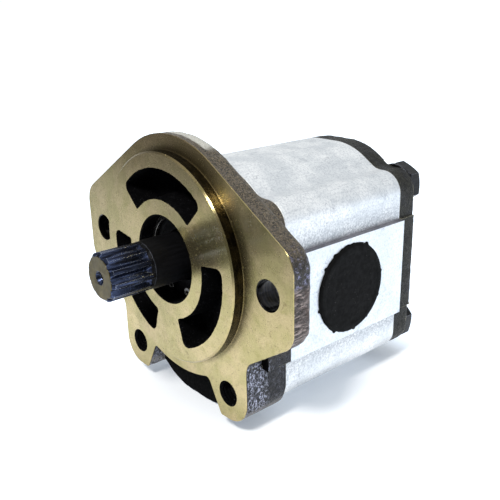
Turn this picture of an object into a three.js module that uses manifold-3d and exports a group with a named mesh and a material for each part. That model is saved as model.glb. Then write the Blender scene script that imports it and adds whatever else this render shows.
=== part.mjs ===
// External gear pump with a two-bolt pilot flange and a splined drive shaft.
// Millimetres, +Z up. The shaft points towards -Y and the two ports face +X and -X.
// All pieces are laid out from the shaft axis where it crosses the mounting face;
// the outer group then puts the origin under the middle of the pump, on the ground.
import * as THREE from 'three';
import { mergeVertices } from 'three/addons/utils/BufferGeometryUtils.js';
import Module from 'manifold-3d';

const wasm = await Module();
wasm.setup();

// ---------------------------------------------------------------- driving dimensions
const SHAFT_REACH = 32.5; // shaft tip in front of the mounting face
const PILOT = { radius: 41.25, height: 4.75 };
const PLATE_DEPTH = 9; // flange plate, front to back
const BLOCK_START = 8; // where the pump-shaped block leaves the plate
const FLANGE_END = 20; // flange casting meets the body
const BODY_END = 85.5; // body meets the rear cover
const COVER_END = 96;
const SPOT_FACE_END = 94.5;
const SPOT_FACE_RADIUS = 11.3;

const GEAR_DISTANCE = 30;
const MID_Z = -GEAR_DISTANCE / 2; // plane midway between the two gear axes
const GEAR_AXES = { drive: 0, idler: -GEAR_DISTANCE };

const HALF_HEIGHT = 49; // of the body outline above and below MID_Z
const HALF_WIDTH = 41;
const PAD_X = 43.75; // port pads stand proud of the side flats
const PAD_HALF_HEIGHT = 20.75;
const COVER_PAD_X = 41.75;

const SCREW = { x: 30.3, rise: 32, radius: 4.7, tapRadius: 4.85, holeRadius: 5.4 };
const WASHER = { radius: 9, depth: 1.75 };
const HEX = { acrossFlats: 16, depth: 6.25 };
const HEX_TURN = { upper_right: 34, upper_left: 12, lower_right: 22, lower_left: 47 };
const MOUNT_HOLE = { x: 53.25, radius: 5.45 };
const DOWEL = { x: 33, radius: 3, halfLength: 5.75 };

const CHAMBER_RADIUS = 17.75;
const GEAR = { teeth: 12, pressureAngle: 22, tipRadius: 17.6, rootRadius: 11.9, backlash: 0.24 };
const GEAR_START = 39.5;
const GEAR_END = 66;
const FRONT_BLOCK = { start: 20.25, end: 39.25 };
const REAR_BLOCK = { start: 66.25, end: 85.25 };
const BLOCK_RADIUS = 17.6;
const JOURNAL_RADIUS = 9.5;
const BUSH = { inner: 9.65, outer: 10.9, seat: 11, inset: 0.5 };

const SPLINE = { teeth: 11, tipRadius: 9.3, rootRadius: 7.7, tipWidth: 1.85, rootWidth: 3.6, length: 18 };
const CENTRE_DRILL = { radius: 1.7, depth: 6 };
const SEAL_BORE = { radius: 17, end: 9.75 };
const SHAFT_BORE_RADIUS = 11;
const LIP_SEAL = { start: 3, end: 9.5, outer: 16.9, lip: 9.65 };
const SNAP_RING = { start: 1, end: 2.4, outer: 18.1, inner: 15.3, openHalfAngle: 16 };
const SNAP_GROOVE = { start: 0.9, end: 2.5, radius: 18.25 };
const KIDNEY = { inner: 23.3, outer: 35.4, outerCorner: 3, innerCorner: 1.3, floor: 6 };
const KIDNEYS = [[46, 136], [-74, 9], [172, 254]]; // start and end angle of each pocket

const FACE_SEAL = { inner: 19.4, outer: 21.4, depth: 1.9 };
const BALANCE_SEAL = { inner: 13.3, outer: 15.5, sweep: 112, meet: 96, depth: 1.4 };
const BACKUP_DEPTH = 0.8;
const GROOVE_PLAY = 0.1;

const PORT_Y = (FLANGE_END + BODY_END) / 2;
const INLET = { side: 1, bore: 16.65, passage: 10, plugRim: 17.9 };
const OUTLET = { side: -1, bore: 13.1, passage: 8, plugRim: 15 };
const PORT_DEPTH = 19;
const SPOT_FACE = { depth: 0.5, play: 0.3 }; // shallow seat round each port, for a cap or a fitting
const PLUG = { rimProud: 1.25, shankDepth: 11, play: 0.3, wall: 1.8, floor: 1.6, slot: 1.6, slotDepth: 0.7 };

const CHORD_ERROR = 0.07; // how far a facet may sag from its true arc
const rad = THREE.MathUtils.degToRad;

// ---------------------------------------------------------------- materials
const metal = (color, roughness, metalness) => ({ color, roughness, metalness });
const LOOKS = {
  machinedIron: metal(0x8d8259, 0.42, 0.75),
  castIron: metal(0x2c2a26, 0.75, 0.45),
  aluminium: metal(0xc9cbd0, 0.45, 0.85),
  darkSteel: metal(0x23232a, 0.35, 0.85),
  brightSteel: metal(0x9a9a98, 0.25, 0.95),
  bronze: metal(0x9c7040, 0.4, 0.85),
  rubber: metal(0x121213, 0.7, 0),
  teflon: metal(0xd8d2c2, 0.6, 0),
  plastic: metal(0x0d0d0e, 0.55, 0),
};

// ---------------------------------------------------------------- solids and geometry
function toSolid(geometry) {
  const bare = geometry.clone();
  bare.deleteAttribute('normal');
  bare.deleteAttribute('uv');
  const merged = mergeVertices(bare, 1e-5);
  return new wasm.Manifold(new wasm.Mesh({
    numProp: 3,
    vertProperties: Float32Array.from(merged.attributes.position.array),
    triVerts: Uint32Array.from(merged.index.array),
  }));
}

function toGeometry(solid) {
  const mesh = solid.getMesh();
  const geometry = new THREE.BufferGeometry();
  geometry.setAttribute('position', new THREE.BufferAttribute(mesh.vertProperties, 3));
  geometry.setIndex(new THREE.BufferAttribute(mesh.triVerts, 1));
  geometry.computeVertexNormals();
  return geometry;
}

const join = (first, ...rest) => rest.reduce((solid, next) => solid.add(next), first);
const cut = (first, ...rest) => rest.reduce((solid, next) => solid.subtract(next), first);

const arcSteps = (radius, angle) => {
  const step = 2 * Math.acos(1 - CHORD_ERROR / Math.max(radius, 2 * CHORD_ERROR));
  return Math.max(2, Math.ceil(Math.abs(angle) / step));
};
const roundSteps = (radius) => 4 * Math.ceil(arcSteps(radius, 2 * Math.PI) / 4);

// Points along a circular arc, both ends included; angles in radians.
function arcPoints(x, z, radius, from, to) {
  const steps = arcSteps(radius, to - from);
  return Array.from({ length: steps + 1 }, (_, k) => {
    const angle = from + (to - from) * k / steps;
    return new THREE.Vector2(x + radius * Math.cos(angle), z + radius * Math.sin(angle));
  });
}

// A shape from corner points [x, z, radius], each corner rounded by its radius.
function roundedShape(corners) {
  const points = corners.flatMap(([x, z, radius = 0], i) => {
    const corner = new THREE.Vector2(x, z);
    if (radius === 0) {
      return [corner];
    }
    const before = new THREE.Vector2(...corners.at(i - 1)).sub(corner).normalize();
    const after = new THREE.Vector2(...corners[(i + 1) % corners.length]).sub(corner).normalize();
    const halfAngle = Math.acos(before.dot(after)) / 2;
    const bisector = before.clone().add(after).normalize();
    const centre = corner.clone().addScaledVector(bisector, radius / Math.sin(halfAngle));
    const start = corner.clone().addScaledVector(before, radius / Math.tan(halfAngle)).sub(centre);
    const turn = Math.sign(after.cross(before)) * (Math.PI - 2 * halfAngle);
    return arcPoints(centre.x, centre.y, radius, start.angle(), start.angle() + turn);
  });
  return new THREE.Shape(points);
}

// Doubles the right half of an outline, listed from top to bottom, into the whole one.
const bothSides = (half) => [...half, ...half.map(([x, z, r]) => [-x, z, r]).reverse()];

// Extrudes a shape drawn in X and Z from y = start to y = end.
function slab(shape, start, end) {
  const geometry = new THREE.ExtrudeGeometry(shape, { depth: end - start, bevelEnabled: false });
  geometry.rotateX(Math.PI / 2);
  geometry.translate(0, end, 0);
  return toSolid(geometry);
}

// A cylinder along Y.
function rod(radius, start, end, x = 0, z = 0) {
  const geometry = new THREE.CylinderGeometry(radius, radius, end - start, roundSteps(radius));
  geometry.translate(x, (start + end) / 2, z);
  return toSolid(geometry);
}

// A cylinder along X, centred on the port axis.
function portRod(radius, start, end, side) {
  const geometry = new THREE.CylinderGeometry(radius, radius, end - start, roundSteps(radius));
  geometry.rotateZ(Math.PI / 2);
  geometry.translate(side * (start + end) / 2, PORT_Y, MID_Z);
  return toSolid(geometry);
}

// A ring or turned body about a Y axis from [radius, y] points, listed anticlockwise.
function turned(profile, x = 0, z = 0) {
  const points = [...profile, profile[0]].map(([r, y]) => new THREE.Vector2(r, y));
  const widest = Math.max(...profile.map(([r]) => r));
  const geometry = new THREE.LatheGeometry(points, roundSteps(widest));
  geometry.translate(x, 0, z);
  return toSolid(geometry);
}

// An annular sector with rounded corners; angles in degrees from +X towards +Z.
function sector({ inner, outer, outerCorner, innerCorner }, fromDeg, toDeg, centreZ = 0) {
  const a0 = rad(fromDeg);
  const a1 = rad(toDeg);
  const quarter = Math.PI / 2;
  const outerTurn = Math.asin(outerCorner / (outer - outerCorner));
  const innerTurn = Math.asin(innerCorner / (inner + innerCorner));
  const cornerArc = (radius, angle, corner, from, to) => arcPoints(
    radius * Math.cos(angle), centreZ + radius * Math.sin(angle), corner, from, to);
  const outerArc = (angle, from, to) => cornerArc(outer - outerCorner, angle, outerCorner, from, to);
  const innerArc = (angle, from, to) => cornerArc(inner + innerCorner, angle, innerCorner, from, to);
  return new THREE.Shape([
    ...arcPoints(0, centreZ, outer, a0 + outerTurn, a1 - outerTurn),
    ...outerArc(a1 - outerTurn, a1 - outerTurn, a1 + quarter).slice(1),
    ...innerArc(a1 - innerTurn, a1 + quarter, a1 - innerTurn + 2 * quarter),
    ...arcPoints(0, centreZ, inner, a1 - innerTurn, a0 + innerTurn).slice(1),
    ...innerArc(a0 + innerTurn, a0 + innerTurn + 2 * quarter, a0 + 3 * quarter).slice(1),
    ...outerArc(a0 + outerTurn, a0 - quarter, a0 + outerTurn).slice(0, -1),
  ]);
}

// ---------------------------------------------------------------- outlines
// Pump outline shared by the flange block, the body and the rear cover.
function pumpOutline(padX) {
  const quarter = [
    [13.9, HALF_HEIGHT, 30],
    [27.75, 40, 8],
    [HALF_WIDTH, 40, 9],
    [HALF_WIDTH, PAD_HALF_HEIGHT],
    [padX, PAD_HALF_HEIGHT],
  ];
  const lower = quarter.map(([x, rise, r]) => [x, -rise, r]).reverse();
  return roundedShape(bothSides([...quarter, ...lower].map(([x, rise, r]) => [x, MID_Z + rise, r])));
}

// Two-bolt flange plate: round over the pilot, two lobes and two screw ears below.
function flangeOutline() {
  const crownRadius = 47.5;
  const sillRadius = 48.2;
  const slope = rad(31.5);
  const crown = crownRadius / Math.cos(slope);
  const lobeX = 65.5;
  const lobeTop = crown - lobeX * Math.tan(slope);
  const right = [
    [lobeX, lobeTop, 10.4],
    [lobeX, -14.8, 9],
    [HALF_WIDTH, -31.2, 6.5],
    [HALF_WIDTH, -58, 10.5],
    [25.5, -58.2, 1.2],
    [18.3, -44.65, 2.5],
  ];
  const left = right.map(([x, z, r]) => [-x, z, r]).reverse();
  const sill = [0, -sillRadius / Math.cos(rad(20)), sillRadius];
  return roundedShape([[0, crown, crownRadius], ...right, sill, ...left]);
}

// The screw ears run from the plate back to the body joint.
function earOutline(side) {
  const corners = [
    [HALF_WIDTH, -40, 0],
    [HALF_WIDTH, -58, 10.5],
    [25.5, -58.2, 1.2],
    [20.2, -48.5, 0],
  ];
  return roundedShape(corners.map(([x, z, r]) => [side * x, z, r]));
}

// Closed loop around both gear chambers.
function chamberLoop(radius) {
  const top = GEAR_AXES.drive + radius;
  const bottom = GEAR_AXES.idler - radius;
  return roundedShape(bothSides([[radius, top, radius - 0.01], [radius, bottom, radius - 0.01]]));
}

// ---------------------------------------------------------------- screw and dowel places
const screwPlaces = ['upper_right', 'upper_left', 'lower_right', 'lower_left'].map((name) => ({
  name,
  x: name.endsWith('right') ? SCREW.x : -SCREW.x,
  z: MID_Z + (name.startsWith('upper') ? SCREW.rise : -SCREW.rise),
  tip: name.startsWith('upper') ? 8 : 4,
  bottom: name.startsWith('upper') ? 6 : -1,
}));
const DOWEL_SIDES = { right: DOWEL.x, left: -DOWEL.x };
const dowelHole = (x, joint) => rod(
  DOWEL.radius + 0.05, joint - DOWEL.halfLength - 0.25, joint + DOWEL.halfLength + 0.25, x, MID_Z);

// ---------------------------------------------------------------- housing pieces
function mountingFlange() {
  const casting = join(
    slab(flangeOutline(), 0, PLATE_DEPTH),
    slab(pumpOutline(PAD_X), BLOCK_START, FLANGE_END),
    ...[1, -1].map((side) => slab(earOutline(side), 1, FLANGE_END)),
    rod(PILOT.radius, -PILOT.height, 1),
  );
  const pockets = KIDNEYS.map(([from, to]) => slab(sector(KIDNEY, from, to), -PILOT.height - 1, KIDNEY.floor));
  const mountHoles = [1, -1].map((side) => rod(MOUNT_HOLE.radius, -1, PLATE_DEPTH + 1, side * MOUNT_HOLE.x));
  const taps = screwPlaces.map(({ x, z, bottom }) => rod(SCREW.tapRadius, bottom, FLANGE_END + 1, x, z));
  const dowels = Object.values(DOWEL_SIDES).map((x) => dowelHole(x, FLANGE_END));
  return cut(
    casting,
    rod(SEAL_BORE.radius, -PILOT.height - 1, SEAL_BORE.end),
    rod(SNAP_GROOVE.radius, SNAP_GROOVE.start, SNAP_GROOVE.end),
    rod(SHAFT_BORE_RADIUS, 0, FLANGE_END + 1),
    ...pockets,
    ...mountHoles,
    ...taps,
    ...dowels,
  );
}

function portHollow({ side, bore, passage, plugRim }) {
  return join(
    portRod(plugRim + SPOT_FACE.play, PAD_X - SPOT_FACE.depth, PAD_X + 1, side),
    portRod(bore, PAD_X - PORT_DEPTH, PAD_X + 1, side),
    portRod(passage, 8, PAD_X - PORT_DEPTH + 1, side),
  );
}

function faceSealGroove(start, end) {
  return cut(
    slab(chamberLoop(FACE_SEAL.outer + GROOVE_PLAY), start, end),
    slab(chamberLoop(FACE_SEAL.inner - GROOVE_PLAY), start - 1, end + 1),
  );
}

function pumpBody() {
  const chambers = Object.values(GEAR_AXES).map((z) => rod(CHAMBER_RADIUS, FLANGE_END - 1, BODY_END + 1, 0, z));
  const screwHoles = screwPlaces.map(({ x, z }) => rod(SCREW.holeRadius, FLANGE_END - 1, BODY_END + 1, x, z));
  const dowels = Object.values(DOWEL_SIDES).flatMap((x) => [dowelHole(x, FLANGE_END), dowelHole(x, BODY_END)]);
  const grooveDepth = FACE_SEAL.depth + GROOVE_PLAY;
  return cut(
    slab(pumpOutline(PAD_X), FLANGE_END, BODY_END),
    ...chambers,
    ...screwHoles,
    ...dowels,
    faceSealGroove(FLANGE_END - 1, FLANGE_END + grooveDepth),
    faceSealGroove(BODY_END - grooveDepth, BODY_END + 1),
    portHollow(INLET),
    portHollow(OUTLET),
  );
}

function rearCover() {
  const screwHoles = screwPlaces.map(({ x, z }) => rod(SCREW.holeRadius, BODY_END - 1, COVER_END + 1, x, z));
  const spotFaces = screwPlaces.map(({ x, z }) => rod(SPOT_FACE_RADIUS, SPOT_FACE_END, COVER_END + 1, x, z));
  const dowels = Object.values(DOWEL_SIDES).map((x) => dowelHole(x, BODY_END));
  return cut(slab(pumpOutline(COVER_PAD_X), BODY_END, COVER_END), ...screwHoles, ...spotFaces, ...dowels);
}

// ---------------------------------------------------------------- gears and shafts
// One involute spur gear outline. Its first tooth, or its first gap, points along +Z.
function gearOutline(centreZ, toothUp) {
  const pitchRadius = GEAR_DISTANCE / 2;
  const baseRadius = pitchRadius * Math.cos(rad(GEAR.pressureAngle));
  const involute = (angle) => Math.tan(angle) - angle;
  const halfPitchAngle = (Math.PI / GEAR.teeth - GEAR.backlash / pitchRadius) / 2;
  const halfAngleAt = (radius) => {
    const pressure = Math.acos(Math.min(1, baseRadius / radius));
    return halfPitchAngle + involute(rad(GEAR.pressureAngle)) - involute(pressure);
  };
  const flankSteps = 6;
  const flank = [[GEAR.rootRadius, halfAngleAt(baseRadius) * 0.94]];
  for (let k = 0; k <= flankSteps; k += 1) {
    const radius = baseRadius + (GEAR.tipRadius - baseRadius) * k / flankSteps;
    flank.push([radius, halfAngleAt(radius)]);
  }
  const points = [];
  for (let tooth = 0; tooth < GEAR.teeth; tooth += 1) {
    const middle = Math.PI / 2 + (tooth + (toothUp ? 0 : 0.5)) * 2 * Math.PI / GEAR.teeth;
    const place = (radius, angle) => points.push(
      new THREE.Vector2(radius * Math.cos(angle), centreZ + radius * Math.sin(angle)));
    flank.forEach(([radius, half]) => place(radius, middle - half));
    [...flank].reverse().forEach(([radius, half]) => place(radius, middle + half));
  }
  return new THREE.Shape(points);
}

// Straight-flanked spline teeth cut into the round shaft end.
function splineOutline() {
  const points = [];
  for (let tooth = 0; tooth < SPLINE.teeth; tooth += 1) {
    const turn = rad(25) + tooth * 2 * Math.PI / SPLINE.teeth;
    const flank = [[SPLINE.rootRadius, -SPLINE.rootWidth / 2], [SPLINE.tipRadius, -SPLINE.tipWidth / 2]];
    const tip = [[SPLINE.tipRadius, SPLINE.tipWidth / 2], [SPLINE.rootRadius, SPLINE.rootWidth / 2]];
    [...flank, ...tip].forEach(([radius, offset]) => {
      const along = Math.sqrt(radius * radius - offset * offset);
      points.push(new THREE.Vector2(along, offset).rotateAround(new THREE.Vector2(), turn));
    });
  }
  return new THREE.Shape(points);
}

function journals(start, end, z) {
  const chamfer = 0.8;
  return turned([
    [0, start],
    [JOURNAL_RADIUS - chamfer, start],
    [JOURNAL_RADIUS, start + chamfer],
    [JOURNAL_RADIUS, end - chamfer],
    [JOURNAL_RADIUS - chamfer, end],
    [0, end],
  ], 0, z);
}

function splinedEnd() {
  const chamfer = 1.2;
  const tip = -SHAFT_REACH;
  const splineEnd = tip + SPLINE.length;
  const envelope = turned([
    [0, tip],
    [SPLINE.rootRadius + 0.3, tip],
    [SPLINE.tipRadius + 0.1, tip + chamfer],
    [SPLINE.tipRadius + 0.1, splineEnd + 1],
    [0, splineEnd + 1],
  ]);
  return slab(splineOutline(), tip, splineEnd + 1).intersect(envelope);
}

function driveGearShaft() {
  const tip = -SHAFT_REACH;
  const bar = join(
    splinedEnd(),
    journals(tip + SPLINE.length, BODY_END - 1, GEAR_AXES.drive),
    slab(gearOutline(GEAR_AXES.drive, true), GEAR_START, GEAR_END),
  );
  return cut(bar, rod(CENTRE_DRILL.radius, tip - 1, tip + CENTRE_DRILL.depth));
}

function idlerGearShaft() {
  return join(
    journals(FLANGE_END + 1, BODY_END - 1, GEAR_AXES.idler),
    slab(gearOutline(GEAR_AXES.idler, false), GEAR_START, GEAR_END),
  );
}

// ---------------------------------------------------------------- bearings
// Figure-three band on the pressure side of both journals.
function balanceBand(play, start, end) {
  const band = {
    inner: BALANCE_SEAL.inner - play,
    outer: BALANCE_SEAL.outer + play,
    outerCorner: 0.6 + play / 2,
    innerCorner: 0.6 + play / 2,
  };
  const extra = play * 4;
  const { sweep, meet } = BALANCE_SEAL;
  const upper = sector(band, 180 - sweep - extra, 180 + meet + extra, GEAR_AXES.drive);
  const lower = sector(band, 180 - meet - extra, 180 + sweep + extra, GEAR_AXES.idler);
  return join(slab(upper, start, end), slab(lower, start, end));
}

const BALANCE_STACK = BALANCE_SEAL.depth + BACKUP_DEPTH;

function bearingBlock({ start, end }, outerFaceAtStart) {
  const lobes = Object.values(GEAR_AXES).map((z) => rod(BLOCK_RADIUS, start, end, 0, z));
  const seats = Object.values(GEAR_AXES).map((z) => rod(BUSH.seat, start - 1, end + 1, 0, z));
  const groove = outerFaceAtStart
    ? balanceBand(GROOVE_PLAY, start - 1, start + BALANCE_STACK + GROOVE_PLAY)
    : balanceBand(GROOVE_PLAY, end - BALANCE_STACK - GROOVE_PLAY, end + 1);
  return cut(join(...lobes), ...seats, groove);
}

function journalBush({ start, end }, z) {
  const front = start + BUSH.inset;
  const back = end - BUSH.inset;
  return turned([[BUSH.inner, front], [BUSH.outer, front], [BUSH.outer, back], [BUSH.inner, back]], 0, z);
}

// ---------------------------------------------------------------- seals
function shaftSeal() {
  const { start, end, outer, lip } = LIP_SEAL;
  return turned([
    [lip + 0.4, start + 0.6],
    [outer - 0.5, start],
    [outer, start + 0.5],
    [outer, end],
    [outer - 1.8, end],
    [outer - 1.8, start + 1.8],
    [lip + 2.6, start + 2.2],
    [lip + 1.6, start + 2.9],
    [lip + 1.6, end - 1],
    [lip, start + 2.6],
  ]);
}

function garterSpring() {
  const wire = 0.75;
  const ringRadius = LIP_SEAL.lip + 1.6 + wire + 0.1;
  const centre = LIP_SEAL.start + 4.2;
  const sides = 8;
  const section = Array.from({ length: sides }, (_, k) => {
    const angle = 2 * Math.PI * k / sides;
    return [ringRadius + wire * Math.cos(angle), centre + wire * Math.sin(angle)];
  });
  return turned(section);
}

function retainingRing() {
  const { start, end, outer, inner, openHalfAngle } = SNAP_RING;
  const lug = { angle: openHalfAngle + 7, radius: 2.1, seat: inner - 0.4, eye: 0.9 };
  const band = sector({ inner, outer, outerCorner: 0.5, innerCorner: 0.5 }, openHalfAngle - 90, 270 - openHalfAngle);
  const ring = slab(band, start, end);
  const lugAt = (side) => {
    const angle = rad(-90 + side * lug.angle);
    return [lug.seat * Math.cos(angle), lug.seat * Math.sin(angle)];
  };
  const lugs = [1, -1].map((side) => rod(lug.radius, start, end, ...lugAt(side)));
  const eyes = [1, -1].map((side) => rod(lug.eye, start - 1, end + 1, ...lugAt(side)));
  return cut(join(ring, ...lugs), ...eyes);
}

function faceSeal(start) {
  const end = start + FACE_SEAL.depth;
  return cut(
    slab(chamberLoop(FACE_SEAL.outer), start, end),
    slab(chamberLoop(FACE_SEAL.inner), start - 1, end + 1),
  );
}

// ---------------------------------------------------------------- fasteners and plugs
function assemblyScrew({ name, x, z, tip }) {
  const headStart = SPOT_FACE_END + WASHER.depth;
  const hexRadius = HEX.acrossFlats / Math.sqrt(3);
  const hexagon = Array.from({ length: 6 }, (_, k) => {
    const angle = rad(HEX_TURN[name] + 60 * k);
    return new THREE.Vector2(x + hexRadius * Math.cos(angle), z + hexRadius * Math.sin(angle));
  });
  return join(
    slab(new THREE.Shape(hexagon), headStart, headStart + HEX.depth),
    rod(SCREW.radius, tip, headStart + 1, x, z),
  );
}

function screwWasher({ x, z }) {
  const end = SPOT_FACE_END + WASHER.depth;
  return cut(rod(WASHER.radius, SPOT_FACE_END, end, x, z), rod(SCREW.holeRadius, SPOT_FACE_END - 1, end + 1, x, z));
}

const dowelPin = (x, joint) => rod(DOWEL.radius, joint - DOWEL.halfLength, joint + DOWEL.halfLength, x, MID_Z);

// A moulded cap: a rim lying in the spot face and a hollow shank pushed into the port.
function portPlug({ side, bore, plugRim }) {
  const shank = bore - PLUG.play;
  const inner = PAD_X - PLUG.shankDepth;
  const seat = PAD_X - SPOT_FACE.depth;
  const face = PAD_X + PLUG.rimProud;
  const slotBar = new THREE.BoxGeometry(2 * PLUG.slotDepth, plugRim, PLUG.slot);
  slotBar.translate(side * face, PORT_Y, MID_Z);
  return cut(
    join(portRod(plugRim, seat, face, side), portRod(shank, inner, PAD_X, side)),
    portRod(shank - PLUG.wall, inner - 1, PAD_X - PLUG.floor, side),
    toSolid(slotBar),
  );
}

// ---------------------------------------------------------------- assembly
const pump = new THREE.Group();
const rearMost = SPOT_FACE_END + WASHER.depth + HEX.depth;
pump.position.set(0, (SHAFT_REACH - rearMost) / 2, HALF_HEIGHT - MID_Z);

function add(name, look, solid) {
  const mesh = new THREE.Mesh(toGeometry(solid), new THREE.MeshStandardMaterial(LOOKS[look]));
  mesh.name = name;
  pump.add(mesh);
}

add('mounting_flange', 'machinedIron', mountingFlange());
add('pump_body', 'aluminium', pumpBody());
add('rear_cover', 'castIron', rearCover());
add('drive_gear_shaft', 'darkSteel', driveGearShaft());
add('idler_gear_shaft', 'darkSteel', idlerGearShaft());

add('front_bearing_block', 'aluminium', bearingBlock(FRONT_BLOCK, true));
add('rear_bearing_block', 'aluminium', bearingBlock(REAR_BLOCK, false));
for (const [shaft, z] of Object.entries(GEAR_AXES)) {
  add(`front_${shaft}_bush`, 'bronze', journalBush(FRONT_BLOCK, z));
  add(`rear_${shaft}_bush`, 'bronze', journalBush(REAR_BLOCK, z));
}

add('shaft_seal', 'rubber', shaftSeal());
add('seal_garter_spring', 'brightSteel', garterSpring());
add('seal_retaining_ring', 'brightSteel', retainingRing());
add('front_face_seal', 'rubber', faceSeal(FLANGE_END));
add('rear_face_seal', 'rubber', faceSeal(BODY_END - FACE_SEAL.depth));

const frontBand = FRONT_BLOCK.start;
const rearBand = REAR_BLOCK.end;
add('front_balance_seal', 'rubber', balanceBand(0, frontBand, frontBand + BALANCE_SEAL.depth));
add('front_backup_ring', 'teflon', balanceBand(0, frontBand + BALANCE_SEAL.depth, frontBand + BALANCE_STACK));
add('rear_balance_seal', 'rubber', balanceBand(0, rearBand - BALANCE_SEAL.depth, rearBand));
add('rear_backup_ring', 'teflon', balanceBand(0, rearBand - BALANCE_STACK, rearBand - BALANCE_SEAL.depth));

for (const place of screwPlaces) {
  add(`${place.name}_screw`, 'darkSteel', assemblyScrew(place));
  add(`${place.name}_washer`, 'darkSteel', screwWasher(place));
}
for (const [side, x] of Object.entries(DOWEL_SIDES)) {
  add(`front_${side}_dowel`, 'brightSteel', dowelPin(x, FLANGE_END));
  add(`rear_${side}_dowel`, 'brightSteel', dowelPin(x, BODY_END));
}
add('inlet_port_plug', 'plastic', portPlug(INLET));
add('outlet_port_plug', 'plastic', portPlug(OUTLET));

export default pump;
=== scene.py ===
"""Finished look of an external gear pump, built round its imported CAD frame.

Lengths are millimetres from the point where the shaft axis meets the mounting face, with X to the right,
Y towards the rear cover and Z up, until a piece is put in place and becomes metres.
"""

import math

import bmesh
import bpy
from mathutils import Matrix, Vector, noise
from mathutils.geometry import tessellate_polygon


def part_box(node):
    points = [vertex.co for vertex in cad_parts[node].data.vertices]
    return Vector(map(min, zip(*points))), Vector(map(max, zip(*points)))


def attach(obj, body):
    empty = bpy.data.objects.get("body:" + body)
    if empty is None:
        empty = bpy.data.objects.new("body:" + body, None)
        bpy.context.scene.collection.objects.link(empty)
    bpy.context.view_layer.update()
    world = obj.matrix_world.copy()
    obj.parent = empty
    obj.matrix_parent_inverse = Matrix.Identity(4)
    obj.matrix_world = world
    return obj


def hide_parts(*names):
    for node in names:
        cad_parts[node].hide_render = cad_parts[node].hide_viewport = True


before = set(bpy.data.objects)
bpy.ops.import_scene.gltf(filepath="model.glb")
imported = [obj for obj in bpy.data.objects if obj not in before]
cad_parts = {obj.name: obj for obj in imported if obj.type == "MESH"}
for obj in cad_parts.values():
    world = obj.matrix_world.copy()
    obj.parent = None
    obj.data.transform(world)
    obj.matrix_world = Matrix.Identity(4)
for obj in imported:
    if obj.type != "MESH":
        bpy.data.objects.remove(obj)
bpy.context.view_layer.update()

MM = 0.001
PILOT_HEIGHT = 4.75
_shaft_low, _shaft_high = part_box("drive_gear_shaft")
_flange_low, _flange_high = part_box("mounting_flange")
ORIGIN = Vector((
    (_shaft_low.x + _shaft_high.x) / 2,
    _flange_low.y + PILOT_HEIGHT * MM,
    (_shaft_low.z + _shaft_high.z) / 2,
))


def depth(node, corner):
    """How far behind the mounting face a node starts (corner 0) or ends (corner 1), in millimetres."""
    return (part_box(node)[corner].y - ORIGIN.y) / MM


# ---- sizes taken over from the frame
SHAFT_TIP = depth("drive_gear_shaft", 0)
FLANGE_END = depth("mounting_flange", 1)
BODY_END = depth("pump_body", 1)
COVER_END = depth("rear_cover", 1)
HEAD_END = depth("lower_left_screw", 1)
WASHER_START = depth("lower_left_washer", 0)
WASHER_END = depth("lower_left_washer", 1)
PAD_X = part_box("pump_body")[1].x / MM
COVER_PAD_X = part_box("rear_cover")[1].x / MM
PLUG_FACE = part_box("inlet_port_plug")[1].x / MM
HALF_HEIGHT = (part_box("pump_body")[1].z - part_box("pump_body")[0].z) / MM / 2
MID_Z = ((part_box("pump_body")[1].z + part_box("pump_body")[0].z) / 2 - ORIGIN.z) / MM
PORT_Y = ((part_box("inlet_port_plug")[1].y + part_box("inlet_port_plug")[0].y) / 2 - ORIGIN.y) / MM

# ---- sizes shared with the CAD part
PILOT_RADIUS = 41.25
PLATE_DEPTH = 9
CROWN_RADIUS = 47.45
CROWN_SLOPE = math.radians(31.5)
LOBE_X = 65.5
SILL_RADIUS = 48.2
BLOCK_START = 8
HALF_WIDTH = 41
EAR_CORNERS = [(HALF_WIDTH, -58, 10.5), (25.5, -58.2, 1.2)]
PAD_HALF_HEIGHT = 20.75
SCREW_X = 30.3
SCREW_RISE = 32
SCREW_RADIUS = 4.7
TAP_RADIUS = 4.85
SPOT_FACE_RADIUS = 11.3
WASHER_RADIUS = 9
ACROSS_FLATS = 16
HEX_CHAMFER = math.radians(28)
HEX_TURN = {"upper_right": 34, "upper_left": 12, "lower_right": 22, "lower_left": 47}
MOUNT_X = 53.25
MOUNT_RADIUS = 5.45
GEAR_DISTANCE = 30
GEAR_START = 39.5
GEAR_END = 66
GEAR_TEETH = 12
PRESSURE_ANGLE = math.radians(22)
TOOTH_THINNING = 0.24
GEAR_TIP = 17.6
GEAR_ROOT = 11.9
JOURNAL_RADIUS = 9.5
CHAMBER_RADIUS = 17.75
SPLINE_TEETH = 11
SPLINE_TIP = 9.3
SPLINE_ROOT = 7.7
SPLINE_LENGTH = 18
SPLINE_TURN = math.radians(25)
SEAL_BORE_RADIUS = 17
SEAL_BORE_END = 9.75
SHAFT_BORE_RADIUS = 11
SNAP_GROOVE_RADIUS = 18.25
KIDNEY_INNER = 23.3
KIDNEY_OUTER = 35.4
KIDNEYS = ((46, 136), (-74, 9), (172, 254))
PORTS = {
    "inlet": {"side": 1, "bore": 16.65, "passage": 10, "rim": 17.9, "seed": 3.1},
    "outlet": {"side": -1, "bore": 13.1, "passage": 8, "rim": 15, "seed": 8.4},
}
PORT_DEPTH = 19
PASSAGE_END = 9
SPOT_DEPTH = 0.5
FLASH_WIDTH = 1.4


# ---- flat outlines
def arc(x, z, radius, start, end, step=0.7):
    """Points on an arc, both ends included; angles in radians."""
    count = max(4, math.ceil(abs(end - start) * radius / step), math.ceil(abs(end - start) / 0.16))
    turns = [start + (end - start) * k / count for k in range(count + 1)]
    return [(x + radius * math.cos(a), z + radius * math.sin(a)) for a in turns]


def polar(radius, angle):
    return radius * math.cos(angle), radius * math.sin(angle)


def circle(radius, x=0.0, z=0.0, count=128):
    turns = [2 * math.pi * k / count for k in range(count)]
    return [(x + radius * math.cos(a), z + radius * math.sin(a)) for a in turns]


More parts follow.
